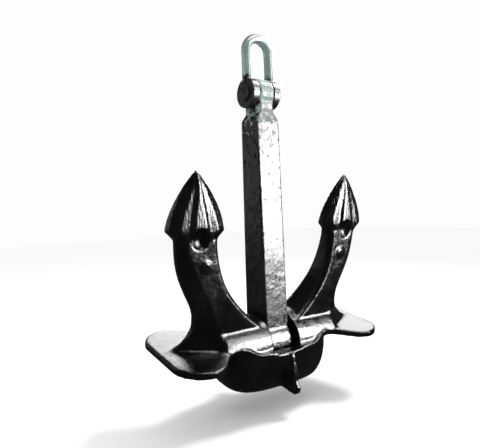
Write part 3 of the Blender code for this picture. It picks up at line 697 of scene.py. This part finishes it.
def bead_nodes():
    """A node tree that sweeps a circle along the edges it is given."""
    tree = bpy.data.node_groups.new("lip_bead", "GeometryNodeTree")
    tree.interface.new_socket("Geometry", in_out="INPUT", socket_type="NodeSocketGeometry")
    for label in ("Bead Radius", "Point Spacing"):
        tree.interface.new_socket(label, in_out="INPUT", socket_type="NodeSocketFloat")
    tree.interface.new_socket("Finish", in_out="INPUT", socket_type="NodeSocketMaterial")
    tree.interface.new_socket("Geometry", in_out="OUTPUT", socket_type="NodeSocketGeometry")
    given = add_node(tree, "NodeGroupInput").outputs
    path = add_node(tree, "GeometryNodeMeshToCurve", Mesh=given["Geometry"])
    even = add_node(tree, "GeometryNodeResampleCurve", {"mode": "LENGTH"}, Curve=path.outputs["Curve"],
                    Length=given["Point Spacing"])
    section = add_node(tree, "GeometryNodeCurvePrimitiveCircle", {"Resolution": BEAD_SIDES},
                       Radius=given["Bead Radius"])
    sweep = add_node(tree, "GeometryNodeCurveToMesh", {"Fill Caps": True}, Curve=even.outputs["Curve"],
                     Profile_Curve=section.outputs["Curve"])
    real = add_node(tree, "GeometryNodeRealizeInstances", Geometry=sweep.outputs["Mesh"])
    painted = add_node(tree, "GeometryNodeSetMaterial", Geometry=real.outputs["Geometry"],
                       Material=given["Finish"])
    add_node(tree, "NodeGroupOutput", Geometry=painted.outputs["Geometry"])
    return tree


bead_tree = bead_nodes()
print("bead node tree", len(bead_tree.nodes), "nodes")

# %% Sweep the bead
BEAD_RADIUS = 0.0050
BEAD_SPACING = 0.006
path_points = []
path_edges = []
for points in lips:
    start = len(path_points)
    path_points += [to_row @ point for point in points]
    path_edges += [(start + k, start + k + 1) for k in range(len(points) - 1)]
bead_path = bpy.data.meshes.new("bead_path")
bead_path.from_pydata(path_points, path_edges, [])
bead = bpy.data.objects.new("bead", bead_path)
bpy.context.scene.collection.objects.link(bead)
bead_inputs = {"Bead Radius": BEAD_RADIUS, "Point Spacing": BEAD_SPACING, "Finish": BLACK_CAST}
sweep_modifier = bead.modifiers.new("sweep", "NODES")
sweep_modifier.node_group = bead_tree
for item in bead_tree.interface.items_tree:
    if item.in_out == "INPUT" and item.name in bead_inputs:
        sweep_modifier[item.identifier] = bead_inputs[item.name]
plain_mesh(bead)
print("bead", len(bead.data.polygons), "faces")

# %% [markdown]
# ## Crown
# The crown is one heavy casting: a bowl, a thick barrel around the pin, two arms with pointed palms and two
# flat ears. Cast steel has no sharp inside corner, because it would crack there as it cools. The bead is
# poured into the net first, and then the net is relaxed once lightly all over.

# %% Crown skin
CROWN_NET = 0.0045
CROWN_ROUNDS = 6
crown_bm = merged_copy("crown_casting")
crown_bm.from_mesh(bead.data)
bpy.data.objects.remove(bead)
crown = as_object(crown_bm, "crown_skin", BLACK_CAST)
soften(crown, CROWN_NET, CROWN_ROUNDS)

# %% [markdown]
# ### Deep fillets
# Each arm flows into its ear with a fillet as wide as a hand. A vertex group marks that part of the skin,
# with weights that fade out at its edges, and the smoothing is run there many more times.

# %% Deep fillets between arms and ears
FILLET_STARTS = (0.245, 0.275)   # metres along the pin from the middle, where the weight rises
FILLET_ENDS = (0.430, 0.450)     # and where it falls again
FILLET_FOOT = (0.030, 0.036)     # the same above the pin
FILLET_HEAD = (0.10, 0.15)
FILLET_SIDES = (0.095, 0.135)    # and away from the pin, to the front and the back
FILLET_LEAST = 0.01
FILLET_ROUNDS = 90


def fade(value, low, high):
    """0 below low, 1 above high, smooth between."""
    t = min(max((value - low) / (high - low), 0.0), 1.0)
    return t * t * (3 - 2 * t)


fillet = crown.vertex_groups.new(name="fillet")
for vertex in crown.data.vertices:
    x, y, z = to_crown @ vertex.co
    amount = fade(abs(x), *FILLET_STARTS) * (1 - fade(abs(x), *FILLET_ENDS))
    amount = amount * fade(z, *FILLET_FOOT) * (1 - fade(z, *FILLET_HEAD))
    amount *= 1 - fade(abs(y), *FILLET_SIDES)
    if amount > FILLET_LEAST:
        fillet.add([vertex.index], amount, "REPLACE")
deep = crown.modifiers.new("deep_fillet", "SMOOTH")
deep.factor = 0.5
deep.iterations = FILLET_ROUNDS
deep.vertex_group = "fillet"
plain_mesh(crown)
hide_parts("crown_casting")
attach(crown, "crown")
print("crown skin", len(crown.data.polygons), "faces")

# %% [markdown]
# ## Shank
# The shank is a forged square bar with an eye at its top. Its corners are knocked round by the hammer, less
# so than a casting's, so its net is finer and it is relaxed fewer times.

# %% Shank skin
SHANK_NET = 0.0032
SHANK_ROUNDS = 4
shank = as_object(merged_copy("shank"), "shank_skin", BLACK_FORGED)
soften(shank, SHANK_NET, SHANK_ROUNDS)
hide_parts("shank")
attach(shank, "shank")
print("shank skin", len(shank.data.polygons), "faces")

# %% [markdown]
# ## Shackle bow
# The bow is a round bar bent hot into a U, with an eye forged on each end. The bar is already round in the
# mechanical model, so the finest net of the three is enough to soften where it runs into the eyes.

# %% Shackle bow skin
BOW_NET = 0.0018
BOW_ROUNDS = 6
bow = as_object(merged_copy("shackle_bow"), "shackle_bow_skin", PRIMER_AND_ENAMEL)
soften(bow, BOW_NET, BOW_ROUNDS)
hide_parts("shackle_bow")
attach(bow, "shackle")
print("bow skin", len(bow.data.polygons), "faces")

# %% [markdown]
# ## Pins, keepers and plugs
# The turned and sawn pieces have true shapes already, so they keep their own meshes and only get a finish.
# The keepers, the locking bars and the shackle pin were brushed black along with the anchor. The crown pin
# and the taper pin are bare steel, and the plugs over the taper pin's ends are lead.

# %% Finish the small pieces
finishes = {"shackle_taper_pin": DULL_STEEL, "crown_pin": DULL_STEEL, "shackle_pin": BLACK_CAST,
            "lead_plug_front": HAMMERED_LEAD, "lead_plug_back": HAMMERED_LEAD}
finishes.update({name: BLACK_CAST for name in nodes if name.startswith(("pin_keeper", "locking_bar"))})
for name, finish in finishes.items():
    nodes[name].data.materials[0] = finish
    print(name, "is", finish.name)

# %% [markdown]
# ## Sizes, then the end
# The dressed model's upper corner is printed as its distance past the mechanical model's. They should be
# nearly the same, since a skin must not grow past the piece that it stands for.

# %% Sizes, then finish
new_low, new_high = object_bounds()
past = [round(new - old, 4) for new, old in zip(new_high, cad_high)]
print("the dressed model's upper corner is", past, "m past the mechanical one's")
